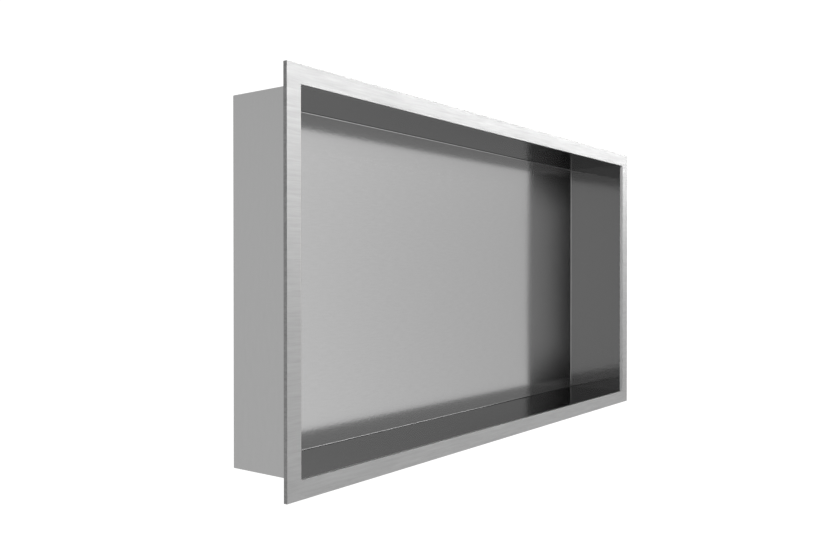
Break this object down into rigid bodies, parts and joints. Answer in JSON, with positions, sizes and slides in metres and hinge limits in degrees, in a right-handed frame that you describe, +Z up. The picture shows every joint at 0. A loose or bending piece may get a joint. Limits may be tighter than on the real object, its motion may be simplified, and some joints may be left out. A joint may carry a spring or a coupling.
{
  "type": "shower niche insert",
  "caption": "Wide, shallow stainless steel tray, open to the front, with a flat flange round its mouth. It is set into a wall to make a shelf for bottles and soap.",
  "frame": {"origin": "centre of the mouth, in the plane of the flange's back, where it lies on the finished wall", "axes": "+X to the right as seen from the front, along the width; +Y into the wall, from the mouth to the back; +Z up"},
  "size_m": [0.6352, 0.0766, 0.3302],
  "materials": {
    "stainless_steel": "flange brushed along its width, tray satin"
  },
  "bodies": {
    "root": {"niche_insert": "stainless_steel"}
  },
  "joints": []
}
